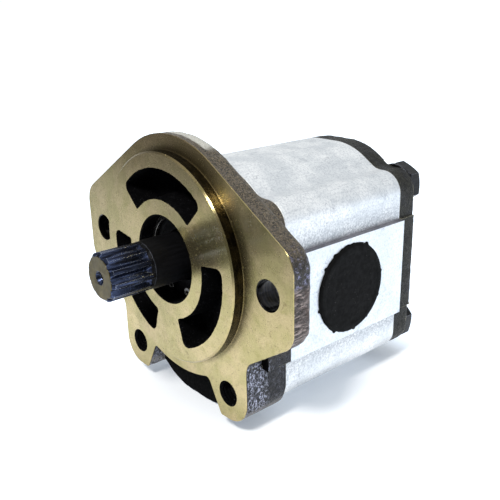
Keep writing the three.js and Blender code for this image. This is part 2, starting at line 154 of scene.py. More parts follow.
def rounded(corners):
    """A closed outline from corner points (x, z, radius)."""
    points = []
    for i, (x, z, radius) in enumerate(corners):
        corner = Vector((x, z))
        before = (Vector(corners[i - 1][:2]) - corner).normalized()
        after = (Vector(corners[(i + 1) % len(corners)][:2]) - corner).normalized()
        half = before.angle(after) / 2
        centre = corner + (before + after).normalized() * (radius / math.sin(half))
        start = corner + before * (radius / math.tan(half)) - centre
        cross = after.x * before.y - after.y * before.x
        turn = math.copysign(math.pi - 2 * half, cross)
        angle = math.atan2(start.y, start.x)
        points += arc(centre.x, centre.y, radius, angle, angle + turn)
    return points


def mirrored(half):
    return [(-x, z, radius) for x, z, radius in reversed(half)]


def pump_outline(pad_x):
    quarter = [
        (13.9, HALF_HEIGHT, 30),
        (27.75, 40, 8),
        (HALF_WIDTH, 40, 9),
        (HALF_WIDTH, PAD_HALF_HEIGHT, 0.1),
        (pad_x, PAD_HALF_HEIGHT, 0.12),
    ]
    lower = [(x, -rise, radius) for x, rise, radius in reversed(quarter)]
    right = [(x, MID_Z + rise, radius) for x, rise, radius in quarter + lower]
    return rounded(right + mirrored(right))


def flange_outline():
    crown = CROWN_RADIUS / math.cos(CROWN_SLOPE)
    right = [
        (LOBE_X, crown - LOBE_X * math.tan(CROWN_SLOPE), 10.4),
        (LOBE_X, -14.8, 9),
        (HALF_WIDTH, -31.2, 6.5),
        *EAR_CORNERS,
        (18.3, -44.65, 2.5),
    ]
    sill = [(0, -SILL_RADIUS / math.cos(math.radians(20)), SILL_RADIUS)]
    return rounded([(0, crown, CROWN_RADIUS)] + right + sill + mirrored(right))


def sector(inner, outer, start, end, outer_corner, inner_corner):
    """A ring segment with rounded corners; angles in degrees from +X towards +Z."""
    a0, a1 = math.radians(start), math.radians(end)
    quarter = math.pi / 2
    outer_turn = math.asin(outer_corner / (outer - outer_corner))
    inner_turn = math.asin(inner_corner / (inner + inner_corner))

    def corner(radius, angle, size, first, last):
        return arc(*polar(radius, angle), size, first, last, 0.4)

    return (
        arc(0, 0, outer, a0 + outer_turn, a1 - outer_turn)
        + corner(outer - outer_corner, a1 - outer_turn, outer_corner, a1 - outer_turn, a1 + quarter)[1:]
        + corner(inner + inner_corner, a1 - inner_turn, inner_corner, a1 + quarter,
                 a1 - inner_turn + 2 * quarter)
        + arc(0, 0, inner, a1 - inner_turn, a0 + inner_turn)[1:]
        + corner(inner + inner_corner, a0 + inner_turn, inner_corner, a0 + inner_turn + 2 * quarter,
                 a0 + 3 * quarter)[1:]
        + corner(outer - outer_corner, a0 + outer_turn, outer_corner, a0 - quarter, a0 + outer_turn)[:-1]
    )


def resampled(loop, spacing):
    """The same closed outline with its long edges divided."""
    points = []
    for i, (x, z) in enumerate(loop):
        nx, nz = loop[(i + 1) % len(loop)]
        length = math.hypot(nx - x, nz - z)
        if length < 1e-4:
            continue
        count = max(1, round(length / spacing))
        points += [(x + (nx - x) * k / count, z + (nz - z) * k / count) for k in range(count)]
    return points


def outward(loop):
    """Unit directions out of a closed outline at each of its points."""
    area = sum(a[0] * b[1] - b[0] * a[1] for a, b in zip(loop, loop[1:] + loop[:1]))
    sign = 1 if area > 0 else -1
    directions = []
    for i in range(len(loop)):
        (px, pz), (qx, qz), (rx, rz) = loop[i - 1], loop[i], loop[(i + 1) % len(loop)]
        first = Vector((qz - pz, px - qx)).normalized() * sign
        second = Vector((rz - qz, qx - rx)).normalized() * sign
        middle = (first + second).normalized()
        directions.append(middle / max(0.5, middle.dot(first)))
    return directions


def clearance(x, z, loop):
    """Distance from a point to a closed outline."""
    nearest = math.inf
    for (ax, az), (bx, bz) in zip(loop, loop[1:] + loop[:1]):
        ex, ez = bx - ax, bz - az
        share = ((x - ax) * ex + (z - az) * ez) / max(ex * ex + ez * ez, 1e-12)
        share = min(1.0, max(0.0, share))
        nearest = min(nearest, (x - ax - share * ex) ** 2 + (z - az - share * ez) ** 2)
    return math.sqrt(nearest)


def inset(loop, amount):
    """The outline moved inwards. Points that would cross over join the last sound one before them."""
    moved = [(x - d.x * amount, z - d.y * amount) for (x, z), d in zip(loop, outward(loop))]
    if amount < 0.35:
        return moved
    sound = [clearance(x, z, loop) > amount * 0.97 for x, z in moved]
    if all(sound) or not any(sound):
        return moved
    last = max(i for i, good in enumerate(sound) if good)
    for i, good in enumerate(sound):
        if good:
            last = i
        moved[i] = moved[last]
    return moved


def uneven(loop, y, amount, grain, seed=0.0):
    """An outline as a sand casting or a moulding leaves it: only ever cut back, never swollen."""
    moved = []
    for (x, z), d in zip(loop, outward(loop)):
        place = Vector((x, y, z)) / grain + Vector((seed, seed, seed))
        swing = 0.5 + 0.5 * max(-1.0, min(1.0, 1.6 * noise.fractal(place, 0.8, 2.1, 3)))
        moved.append((x - d.x * amount * swing, z - d.y * amount * swing))
    return moved


# ---- mesh building
class Shell:
    """The rings, bands and caps of one piece. Each face carries the number of its material."""

    def __init__(self):
        self.points = []
        self.faces = []
        self.marks = []

    def ring(self, loop, y):
        first = len(self.points)
        self.points += [(x, y, z) for x, z in loop]
        return list(range(first, len(self.points)))

    def band(self, a, b, mark=0):
        for i in range(len(a)):
            j = (i + 1) % len(a)
            self.faces.append((a[i], a[j], b[j], b[i]))
            self.marks.append(mark)

    def distinct(self, loop):
        """A ring without the points that lie on the one before them."""
        return [v for k, v in enumerate(loop) if self.points[v] != self.points[loop[k - 1]]]

    def remark(self, start, count, mark):
        """Gives `count` faces, from number `start` on, another material."""
        self.marks[start:start + count] = [mark] * count

    def cap(self, outer, holes=(), mark=0):
        loops = [self.distinct(loop) for loop in (outer, *holes)]
        flat = [[Vector((self.points[i][0], self.points[i][2], 0)) for i in loop] for loop in loops]
        index = [i for loop in loops for i in loop]
        for triangle in tessellate_polygon(flat):
            self.faces.append(tuple(index[k] for k in triangle))
            self.marks.append(mark)

    def wall(self, loop, levels, mark=0, rough=0.0, grain=2.5, seed=0.0):
        """Rings of one outline at (y, inset) levels, joined by bands. Returns the first and last ring."""
        rings = []
        for y, amount in levels:
            shape = inset(loop, amount) if amount else loop
            shape = uneven(shape, y, rough, grain, seed) if rough else shape
            rings.append(self.ring(shape, y))
        for a, b in zip(rings, rings[1:]):
            self.band(a, b, mark)
        return rings[0], rings[-1]

    def prism(self, loop, levels, mark=0):
        """A wall with both its ends capped."""
        for end in self.wall(loop, levels, mark):
            self.cap(end, mark=mark)

    def turned(self, profile, x=0.0, z=0.0, mark=0, count=128):
        """Rings of circles at (radius, y) points. Returns the first and last ring."""
        rings = [self.ring(circle(radius, x, z, count), y) for radius, y in profile]
        for a, b in zip(rings, rings[1:]):
            self.band(a, b, mark)
        return rings[0], rings[-1]

    def lathe(self, profile, x=0.0, z=0.0, mark=0, count=128):
        """A closed turned solid: its two ends are capped."""
        for end in self.turned(profile, x, z, mark, count):
            self.cap(end, mark=mark)

    def mesh(self, name):
        mesh = bpy.data.meshes.new(name)
        mesh.from_pydata([Vector(p) * MM for p in self.points], [], self.faces)
        mesh.polygons.foreach_set("material_index", self.marks)
        shape = bmesh.new()
        shape.from_mesh(mesh)
        bmesh.ops.remove_doubles(shape, verts=shape.verts, dist=1e-9)
        bmesh.ops.recalc_face_normals(shape, faces=shape.faces)
        shape.to_mesh(mesh)
        shape.free()
        return mesh


def placed(name, data):
    """A new object in the scene."""
    obj = bpy.data.objects.new(name, data)
    bpy.context.scene.collection.objects.link(obj)
    return obj


def baked(obj):
    """Settles an object's modifiers into its mesh."""
    graph = bpy.context.evaluated_depsgraph_get()
    mesh = bpy.data.meshes.new_from_object(obj.evaluated_get(graph), depsgraph=graph)
    obj.modifiers.clear()
    obj.data = mesh


def piece(name, shell, materials, body, replaced, cutters=(), turn=None, sharp=38):
    """Makes a finished piece out of a shell, cuts its hollows, and ties it to the frame."""
    obj = placed(name, shell.mesh(name))
    for material in materials:
        obj.data.materials.append(material)
    tools = []
    for k, cutter in enumerate(cutters):
        tool = placed(f"{name}_cutter_{k}", cutter.mesh(f"{name}_cutter_{k}"))
        for material in materials:
            tool.data.materials.append(material)
        modifier = obj.modifiers.new("hollow", "BOOLEAN")
        modifier.operation = "DIFFERENCE"
        modifier.solver = "EXACT"
        modifier.object = tool
        tools.append(tool)
    if tools:
        baked(obj)
    for tool in tools:
        bpy.data.objects.remove(tool)
    obj.data.polygons.foreach_set("use_smooth", [True] * len(obj.data.polygons))
    obj.data.set_sharp_from_angle(angle=math.radians(sharp))
    even = obj.modifiers.new("even", "WEIGHTED_NORMAL")
    even.keep_sharp = True
    even.weight = 80
    baked(obj)
    obj.data.name = name
    obj.matrix_world = Matrix.Translation(ORIGIN) @ (turn or Matrix.Identity(4))
    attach(obj, body)
    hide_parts(*replaced)
    return obj


# ---- material graphs
def colour(red, green, blue):
    """Linear colour from 0-255 screen values."""
    def linear(value):
        return ((value / 255 + 0.055) / 1.055) ** 2.4 if value > 10 else value / 255 / 12.92

    return linear(red), linear(green), linear(blue), 1


def preset(node, values):
    """Gives named inputs of a node their plain values."""
    for key, value in values.items():
        node.inputs[key].default_value = value


class Nodes:
    """Short ways to grow the nodes of one tree."""

    def __init__(self, tree):
        self.tree = tree

    def node(self, kind, **settings):
        node = self.tree.nodes.new(kind)
        for key, value in settings.items():
            setattr(node, key, value)
        return node

    def feed(self, socket, value):
        if isinstance(value, bpy.types.NodeSocket):
            self.tree.links.new(value, socket)
        else:
            socket.default_value = value

    def math(self, operation, a, b=0.0):
        node = self.node("ShaderNodeMath", operation=operation)
        self.feed(node.inputs[0], a)
        self.feed(node.inputs[1], b)
        return node.outputs[0]

    def vector(self, operation, *values):
        node = self.node("ShaderNodeVectorMath", operation=operation)
        for socket, value in zip(node.inputs, values):
            self.feed(socket, value)
        return node.outputs

    def times(self, a, b):
        return self.math("MULTIPLY", a, b)

    def ramp(self, value, low, high, start=0.0, end=1.0):
        """Maps low..high onto start..end, smoothly and clamped."""
        node = self.node("ShaderNodeMapRange", interpolation_type="SMOOTHSTEP")
        self.feed(node.inputs["Value"], value)
        preset(node, {"From Min": low, "From Max": high, "To Min": start, "To Max": end})
        return node.outputs["Result"]


class Graph(Nodes):
    """One material. Its textures are placed in object space, in millimetres."""

    def __init__(self, name, metallic=0.0, specular=0.5, anisotropic=0.0):
        self.material = bpy.data.materials.new(name)
        self.material.use_nodes = True
        super().__init__(self.material.node_tree)
        self.shader = self.tree.nodes["Principled BSDF"]
        preset(self.shader, {"Metallic": metallic, "Specular IOR Level": specular,
                             "Anisotropic": anisotropic})
        place = self.node("ShaderNodeTexCoord")
        scale = self.node("ShaderNodeVectorMath", operation="SCALE")
        scale.inputs["Scale"].default_value = 1 / MM
        self.tree.links.new(place.outputs["Object"], scale.inputs[0])
        self.place = scale.outputs[0]

    def stretched(self, x=1.0, y=1.0, z=1.0):
        return self.vector("MULTIPLY", self.place, (x, y, z))[0]

    def noise(self, size, detail=3.0, rough=0.55, place=None, distortion=0.0):
        """Cloudy noise with features about `size` millimetres across, 0 to 1."""
        node = self.node("ShaderNodeTexNoise", noise_dimensions="3D")
        self.feed(node.inputs["Vector"], place or self.place)
        preset(node, {"Scale": 1 / size, "Detail": detail, "Roughness": rough, "Distortion": distortion})
        return node.outputs["Fac"]

    def cells(self, size):
        """Distance pattern of scattered points about `size` millimetres apart."""
        node = self.node("ShaderNodeTexVoronoi")
        self.feed(node.inputs["Vector"], self.place)
        node.inputs["Scale"].default_value = 1 / size
        return node.outputs["Distance"]

    def mix(self, factor, *colours):
        """Blends two colours: sockets, linear colours, or triples of 0-255 screen values."""
        node = self.node("ShaderNodeMix", data_type="RGBA")
        self.feed(node.inputs[0], factor)
        for number, value in zip((6, 7), colours):
            is_triple = isinstance(value, tuple) and len(value) == 3
            self.feed(node.inputs[number], colour(*value) if is_triple else value)
        return node.outputs[2]

    def coat(self, factor, over):
        """Lays a colour over the base, fully where the factor is 1."""
        self.base = self.mix(factor, self.base, over)

    def split(self):
        node = self.node("ShaderNodeSeparateXYZ")
        self.feed(node.inputs[0], self.place)
        return node.outputs

    def radius(self):
        """Distance from the turning axis, the object's own Y axis."""
        x, _, z = self.split()
        square = self.math("ADD", self.times(x, x), self.times(z, z))
        return self.math("SQRT", square)

    def turned_grain(self):
        """Spreads the gloss across circular tool marks round the object's Y axis."""
        x, _, z = self.split()
        mark = self.node("ShaderNodeCombineXYZ")
        self.feed(mark.inputs[0], z)
        self.feed(mark.inputs[2], self.times(x, -1.0))
        normal = self.node("ShaderNodeNewGeometry").outputs["Normal"]
        across = self.vector("CROSS_PRODUCT", normal, mark.outputs[0])[0]
        self.feed(self.shader.inputs["Tangent"], self.vector("NORMALIZE", across)[0])

    def edges(self, radius):
        """1 along worn edges and corners within `radius` millimetres, 0 on open faces."""
        normal = self.node("ShaderNodeNewGeometry").outputs["Normal"]
        bevel = self.node("ShaderNodeBevel", samples=6)
        bevel.inputs["Radius"].default_value = radius * MM
        likeness = self.vector("DOT_PRODUCT", bevel.outputs[0], normal)["Value"]
        return self.ramp(likeness, 0.995, 0.85)

    def bump(self, height, depth, onto=None):
        node = self.node("ShaderNodeBump")
        node.inputs["Distance"].default_value = depth * MM
        self.feed(node.inputs["Height"], height)
        if onto is not None:
            self.feed(node.inputs["Normal"], onto)
        return node.outputs[0]

    def finish(self, rough, normal=None):
        self.feed(self.shader.inputs["Base Color"], self.base)
        self.feed(self.shader.inputs["Roughness"], rough)
        if normal is not None:
            self.feed(self.shader.inputs["Normal"], normal)
        return self.material


def machined_iron():
    """Turned cast iron under a film of old oil: olive gold, cloudy, with pores and fine tool rings; painted
    shade darkens the top of the face and a ring round the base of the pilot.
    """
    g = Graph("machined_iron", metallic=0.95, anisotropic=0.97)
    g.turned_grain()
    _, y, z = g.split()
    g.base = g.mix(g.ramp(g.noise(10, 4), 0.36, 0.66), (168, 156, 108), (184, 166, 124))
    g.coat(g.ramp(g.noise(5.5, 5, 0.6), 0.52, 0.72, 0, 0.6), (146, 138, 84))
    g.coat(g.ramp(g.noise(2.4, 5, 0.65), 0.5, 0.75, 0, 0.5), (138, 126, 90))
    # painted shade: the face turns darker brown towards its top
    g.coat(g.ramp(z, 22, 50, 0, 0.75), (122, 98, 70))
    # painted shade in the corner round the base of the pilot
    painted_pilot_foot_shade = g.times(g.ramp(g.radius(), 43.5, 41.6), g.ramp(y, -0.6, -0.1))
    g.coat(g.times(painted_pilot_foot_shade, 0.45), (70, 58, 36))
    g.coat(g.ramp(g.noise(0.6, 4, 0.75), 0.45, 0.72, 0, 0.45), (120, 110, 78))
    rings = g.math("SINE", g.times(g.radius(), 2 * math.pi / 0.62))
    g.coat(g.ramp(rings, -1, 1, 0.0, 0.08), (110, 100, 70))
    pores = g.times(g.ramp(g.cells(0.9), 0.2, 0.1), g.ramp(g.noise(2.2, 2), 0.48, 0.6))
    g.coat(g.times(pores, 0.75), (44, 38, 26))
    stain = g.ramp(g.noise(3.1, 6, 0.7, distortion=0.6), 0.58, 0.72, 0, 0.55)
    g.coat(stain, (104, 86, 56))
    rough = g.math("ADD", g.ramp(g.noise(4, 5), 0.3, 0.7, 0.22, 0.28), g.times(pores, 0.2))
    normal = g.bump(rings, 0.002)
    normal = g.bump(g.times(pores, -1.0), 0.06, normal)
    normal = g.bump(g.noise(0.45, 4), 0.003, normal)
    return g.finish(rough, normal)


def cast_iron(name, dark, light, glint=0.5, worn=0.35, gloss=0.0, worked=False):
    """Sand-cast iron with dark scale: coarse grain, bright points that are painted glints, and rubbed
    corners.

    A worked casting also has a bare ground patch on its crown, drag marks on the ends of its lobes and
    scraped ears, and painted glints on its sides and ears.
    """
    g = Graph(name, metallic=0.5 if gloss else 0.0, specular=0.5 if gloss else 0.03)
    grain = g.noise(0.4, 4, 0.7)
    lumps = g.noise(1.5, 5, 0.65)
    g.base = g.mix(g.ramp(grain, 0.38, 0.62), dark, light)
    g.coat(g.ramp(lumps, 0.42, 0.6, 0, 0.6), dark)
    g.coat(g.ramp(g.noise(7, 3), 0.46, 0.66, 0, 0.4 * gloss), (34, 36, 50))
    # painted glints: bright points scattered over the grain
    points = g.times(g.ramp(grain, 0.58, 0.7), g.ramp(g.noise(2.8, 4), 0.42, 0.6))
    g.coat(g.times(points, glint), (196, 196, 206))
    rough = g.math("SUBTRACT", g.ramp(lumps, 0.3, 0.7, 0.74 - 0.4 * gloss, 0.84 - 0.3 * gloss),
                   g.times(points, 0.15))
    if worked:
        x, y, z = g.split()
        aside = g.math("ABSOLUTE", x)
        chips = g.noise(0.5, 5, 0.8)
        shoulder = g.times(g.ramp(z, 12, 18), g.ramp(chips, 0.44, 0.6))
        g.coat(g.ramp(z, 12, 18, 0, 0.6), (20, 17, 14))
        g.coat(g.times(shoulder, 0.8), (138, 124, 102))
        glare = g.times(g.ramp(z, 22, 4), g.ramp(g.noise(1.6, 5, 0.75), 0.53, 0.6))
        g.coat(g.times(glare, g.ramp(z, 3, 7, 0, 0.7)), (150, 150, 186))
        ends = g.times(g.ramp(aside, 62.4, 64.2), g.ramp(z, 7.0, 3.0))
        drag = g.noise(0.8, 6, 0.8, place=g.stretched(1, 0.16, 1), distortion=0.5)
        g.coat(ends, g.mix(g.ramp(drag, 0.45, 0.62), (38, 28, 24), (158, 142, 136)))
        stain = g.times(ends, g.ramp(g.noise(5, 3), 0.5, 0.66, 0, 0.7))
        g.coat(stain, (62, 42, 32))
        crown = g.times(g.ramp(z, 42.8, 44.4), g.ramp(g.math("ADD", y, g.noise(4, 3)), 3.2, 4.2))
        ground = g.mix(g.ramp(grain, 0.34, 0.6), (150, 146, 132), (206, 204, 196))
        g.coat(crown, ground)
        low = g.times(g.ramp(z, -30, -33), g.ramp(y, 0.4, 1.0))
        # painted glints on the ears, fewer towards the back
        ear_glint_noise = g.noise(0.9, 6, 0.85, place=g.stretched(1, 1, 0.7), distortion=0.4)
        fading = g.ramp(g.math("SUBTRACT", y, g.noise(6, 3)), 11.5, 7.5, 0.15)
        painted_ear_glints = g.times(g.ramp(ear_glint_noise, 0.5, 0.6), fading)
        g.coat(g.times(low, 0.75), (12, 12, 18))
        g.coat(g.times(low, painted_ear_glints), (190, 194, 214))
        scrape = g.times(g.ramp(z, -50.5, -55), g.ramp(drag, 0.42, 0.6))
        g.coat(scrape, (150, 146, 140))
    wear = g.times(g.edges(0.5), g.ramp(g.noise(2.4, 4), 0.4, 0.6))
    g.coat(g.times(wear, worn), (176, 170, 146))
    normal = g.bump(lumps, 0.5)
    normal = g.bump(grain, 0.3, normal)
    return g.finish(rough, normal)


def satin_aluminium(name, base_low, base_high, rough_low, rough_high, lines=1.0, edge=0.3, painted_ledge_shade=0.0):
    """Etched extruded aluminium: pale, finely speckled, with rubbed streaks and grey scuffs, and, where
    asked, mottled painted shade on the sides next to the pad ledges.
    """
    g = Graph(name, metallic=0.78)
    cloud = g.noise(11, 4)
    speck = g.noise(0.8, 5, 0.8)
    g.base = g.mix(g.ramp(cloud, 0.35, 0.68), base_low, base_high)
    g.coat(g.ramp(speck, 0.46, 0.6, 0, 0.42), (158, 162, 172))
    if painted_ledge_shade:
        # painted shade: a mottled grey band on the sides next to the pad ledges
        rise = g.math("ABSOLUTE", g.math("SUBTRACT", g.split()[2], MID_Z))
        band = g.times(g.ramp(rise, 32, 22), g.ramp(speck, 0.36, 0.58, 0.2, 1.0))
        g.coat(g.times(band, painted_ledge_shade), (128, 132, 138))
    draw = g.noise(0.9, 4, place=g.stretched(1, 0.06, 1))
    g.coat(g.ramp(draw, 0.5, 0.72, 0, 0.16 * lines), (132, 136, 148))
    smudge = g.times(g.ramp(g.noise(6, 5, 0.6), 0.54, 0.72), g.ramp(speck, 0.35, 0.6))
    g.coat(g.times(smudge, 0.3), (138, 142, 152))
    bent = g.noise(14, 2, place=g.stretched(1, 1.4, 1))
    near = g.math("ABSOLUTE", g.math("SUBTRACT", g.noise(7, 2, distortion=0.9), bent))
    scuff = g.times(g.ramp(near, 0.012, 0.003), g.ramp(g.noise(9, 2), 0.52, 0.62))
    g.coat(g.times(scuff, 0.3), (110, 112, 124))
    g.coat(g.times(g.edges(0.3), edge), (230, 231, 234))
    rough = g.math("ADD", g.ramp(cloud, 0.3, 0.7, rough_low, rough_high), g.times(scuff, 0.15))
    normal = g.bump(speck, 0.08)
    normal = g.bump(draw, 0.02 * lines, normal)
    return g.finish(rough, normal)


def black_steel(name, dark, light, rough_low=0.26, rough_high=0.42, metallic=0.85, rust=0.3, worn=0.9):
    """Blackened, oiled steel: blue-grey bloom, and bare metal along the corners, which at full wear is also a
    painted highlight.
    """
    g = Graph(name, metallic=metallic, specular=0.5 * metallic)
    along = g.noise(1.1, 3, place=g.stretched(1, 0.12, 1))
    g.base = g.mix(g.ramp(along, 0.36, 0.66), dark, light)
    g.coat(g.ramp(g.noise(1.3, 5, 0.7), 0.62, 0.78, 0, rust), (92, 62, 40))
    # bare metal along worn corners; where worn is high it is also a painted highlight
    wear = g.times(g.edges(0.34), g.ramp(g.noise(1.6, 3), 0.24, 0.42))
    g.coat(g.times(wear, worn), (196, 202, 222))
    rough = g.ramp(g.noise(0.8, 3), 0.3, 0.7, rough_low, rough_high)
    return g.finish(rough, g.bump(g.noise(0.35, 3), 0.008))


def ground_steel(name, low, high, rough_low=0.2, rough_high=0.34):
    """Ground or drawn metal with fine rings round its own Y axis."""
    g = Graph(name, metallic=0.95, anisotropic=0.4)
    g.turned_grain()
    g.base = g.mix(g.ramp(g.noise(3.5, 4), 0.35, 0.7), low, high)
    lines = g.noise(0.6, 3, place=g.stretched(0.05, 1, 0.05))
    g.coat(g.ramp(lines, 0.45, 0.7, 0, 0.25), (90, 84, 74))
    rough = g.ramp(g.noise(1.2, 4), 0.3, 0.7, rough_low, rough_high)
    return g.finish(rough, g.bump(lines, 0.01))


def moulded(name, dark, light, rough_low, rough_high, grain=0.5, depth_mm=0.04, dust=0.25):
    """Moulded polymer or rubber: fine matt grain with dust and pale rub marks."""
    g = Graph(name, specular=0.08)
    g.base = g.mix(g.ramp(g.noise(3.2, 5, 0.6), 0.38, 0.7), dark, light)
    specks = g.times(g.ramp(g.cells(1.1), 0.16, 0.06), g.ramp(g.noise(3, 2), 0.52, 0.64))
    g.coat(g.times(specks, dust), (150, 148, 144))
    rough = g.ramp(g.noise(1.8, 4), 0.3, 0.7, rough_low, rough_high)
    normal = g.bump(g.noise(grain, 4, 0.6), depth_mm)
    return g.finish(rough, g.bump(g.noise(6, 2), 0.12, normal))


IRON_FACE = machined_iron()
IRON_CAST = cast_iron("cast_iron_scale", (14, 14, 16), (64, 57, 48), 0.8, 0.6, 1.0, worked=True)
# near black: painted shade for the kidney pockets, the seal bore, the tapped holes and the block front, with
# a few painted glints
IRON_POCKET_SHADE = cast_iron("cast_iron_pocket_shade", (4, 4, 5), (9, 9, 10), 0.12, 0.0)
# near black bores: painted shade inside the mounting holes, so that only highlights show
IRON_DRILLED = ground_steel("drilled_iron", (12, 11, 10), (36, 36, 40), 0.12, 0.2)
# dark pilot side: painted shade for the dim surroundings it mirrors
IRON_REGISTER_SHADE = ground_steel("register_painted_shade", (26, 22, 13), (60, 52, 32), 0.2, 0.3)
IRON_COVER = cast_iron("cast_iron_cover", (10, 10, 8), (42, 40, 28), 0.25, 0.8, 0.6)
ALUMINIUM = satin_aluminium("extruded_aluminium", (212, 215, 217), (234, 235, 235), 0.42, 0.54, 1.0, 0.0, 0.6)
ALUMINIUM_PAD = satin_aluminium("milled_pad", (206, 211, 216), (222, 226, 229), 0.36, 0.46, 0.4)
# dark grey ledges: painted shadow along the steps beside the pads
ALUMINIUM_LEDGE_SHADOW = satin_aluminium("ledge_painted_shadow", (98, 96, 104), (128, 126, 132), 0.5, 0.6, 0.4)
BEARING_ALUMINIUM = satin_aluminium("bearing_aluminium", (178, 176, 170), (206, 204, 198), 0.3, 0.42, 0.3)
# the full edge wear on the shaft also stands in for painted highlights along the spline teeth
SHAFT_BLACK = black_steel("blackened_shaft", (26, 28, 38), (66, 76, 104), 0.2, 0.3, 0.95, 0.0, 1.0)
# near black neck: painted shade inside the seal recess
NECK_SHADE = black_steel("neck_painted_shade", (7, 7, 8), (14, 14, 16), 0.5, 0.65, 0.15, 0.1, 0.1)
SHAFT_END = ground_steel("turned_shaft_end", (72, 62, 30), (98, 86, 46), 0.3, 0.42)
SHAFT_GROUND = ground_steel("ground_journal", (120, 118, 114), (152, 150, 146))
SCREW_BLACK = black_steel("blackened_screw", (14, 14, 15), (34, 33, 34), 0.34, 0.5, 0.7, 0.3, 0.25)
SPRING_STEEL = ground_steel("spring_steel", (70, 68, 66), (110, 108, 104))
DOWEL_STEEL = ground_steel("dowel_steel", (150, 148, 144), (178, 176, 172), 0.18, 0.3)
BRONZE = ground_steel("bush_bronze", (146, 104, 60), (176, 132, 80), 0.25, 0.4)
PLASTIC = moulded("black_plastic", (3, 3, 3), (8, 8, 8), 0.6, 0.75)
RUBBER = moulded("seal_rubber", (14, 14, 15), (26, 26, 27), 0.5, 0.68, 0.35, 0.03, 0.1)
BACKUP = moulded("backup_polymer", (196, 188, 168), (214, 208, 190), 0.4, 0.55, 0.6, 0.02, 0.0)


# ---- front cover and flange
def thread(radius, height, start, end, pitch=1.5):
    """Levels (radius, y) of a thread cut as rings, from start to end."""
    levels = []
    y = start
    while y + pitch <= end:
        levels += [(radius, y), (radius - height, y + pitch / 2)]
        y += pitch
    return levels + [(radius, y)]


def ear_places():
    return [(side * SCREW_X, MID_Z - SCREW_RISE) for side in (1, -1)]


def plate_shell():
    """Flange plate with the pilot: marks 0 machined, 1 as cast, 2 pocket, 3 drilled, 4 pilot side. Marks 2, 3
    and 4 carry painted shade.
    """
    s = Shell()
    outline = resampled(flange_outline(), 0.8)
    rim = s.ring(inset(outline, 0.2), 0)
    start = s.ring(uneven(outline, 0.25, 0.12, 1.4), 0.25)
    s.band(rim, start, 0)
    levels = [(0.25, 0), (1.4, 0.06), (2.8, 0.12), (4.2, 0.16), (5.6, 0.2), (7, 0.3), (8.1, 0.7), (8.75, 1.3)]
    first, last = s.wall(outline, levels, 1, rough=0.3)
    s.band(start, first, 1)
    back = s.ring(inset(outline, 2.2), PLATE_DEPTH)
    s.band(last, back, 1)

    drilled = [(MOUNT_RADIUS + 0.35, 0), (MOUNT_RADIUS, 0.35), (MOUNT_RADIUS, 8.6),
               (MOUNT_RADIUS + 0.4, PLATE_DEPTH)]
    tapped = [(TAP_RADIUS + 0.3, 0), *thread(TAP_RADIUS + 0.15, 0.55, 0.4, 8.2), (TAP_RADIUS, PLATE_DEPTH)]
    holes = [s.turned(drilled, side * MOUNT_X, 0, 3, 72) for side in (1, -1)]
    holes += [s.turned(tapped, x, z, 2, 72) for x, z in ear_places()]
    front_holes, back_holes = zip(*holes)

    pilot = [(PILOT_RADIUS + 0.3, 0), (PILOT_RADIUS + 0.08, -0.07), (PILOT_RADIUS, -0.3),
             (PILOT_RADIUS, -PILOT_HEIGHT + 0.6), (PILOT_RADIUS - 0.6, -PILOT_HEIGHT)]
    start, count = len(s.marks), 256
    base, top = s.turned(pilot, mark=0, count=count)
    s.remark(start + 2 * count, count, 4)
    s.cap(rim, [base, *front_holes], 0)

    bore = [(SEAL_BORE_RADIUS + 0.6, -PILOT_HEIGHT), (SEAL_BORE_RADIUS, -PILOT_HEIGHT + 0.6),
            (SEAL_BORE_RADIUS, 0.9), (SNAP_GROOVE_RADIUS, 0.95), (SNAP_GROOVE_RADIUS, 2.45),
            (SEAL_BORE_RADIUS, 2.5), (SEAL_BORE_RADIUS, PLATE_DEPTH)]
    mouth, throat = s.turned(bore, mark=2, count=160)
    pockets = []
    for k, (start_angle, end_angle) in enumerate(KIDNEYS):
        loop = sector(KIDNEY_INNER, KIDNEY_OUTER, start_angle, end_angle, 3, 1.3)
        loop = resampled(loop, 0.7)
        edge = s.ring(uneven(loop, 0, 0.18, 1.8, k), -PILOT_HEIGHT)
        levels = [(-4.5, 0.05), (-2, 0.2), (1, 0.35), (3.6, 0.5), (5, 0.8), (5.7, 1.2)]
        lip, deep = s.wall(loop, levels, 2, rough=0.25, seed=k)
        s.band(edge, lip, 2)
        s.cap(deep, mark=2)
        pockets.append(edge)
    s.cap(top, [mouth, *pockets], 0)
    s.cap(back, [throat, *back_holes], 1)
    return s


def block_into(s):
    """Pump-shaped block behind the plate. Its front is in the dark, marked 2 like a pocket."""
    outline = resampled(pump_outline(PAD_X), 0.9)
    straight = [(y, 0.0) for y in (BLOCK_START + 0.7, 10, 11.5, 13, 14.5, 16, 17.5, 18.8)]
    levels = [(BLOCK_START, 0.7), (BLOCK_START + 0.2, 0.3), *straight, (19.6, 0.05), (FLANGE_END, 0.1)]
    start = len(s.marks)
    first, last = s.wall(outline, levels, 1, rough=0.22, seed=5)
    s.remark(start, 2 * len(outline), 2)
    bore = [(SEAL_BORE_RADIUS, BLOCK_START), (SEAL_BORE_RADIUS, SEAL_BORE_END),
            (SHAFT_BORE_RADIUS, SEAL_BORE_END), (SHAFT_BORE_RADIUS, FLANGE_END)]
    tapped = [(TAP_RADIUS, BLOCK_START), (TAP_RADIUS, FLANGE_END)]
    holes = [s.turned(bore, mark=2)] + [s.turned(tapped, x, z, 2, 72) for x, z in ear_places()]
    front_holes, back_holes = zip(*holes)
    s.cap(first, front_holes, 2)
    s.cap(last, back_holes, 1)


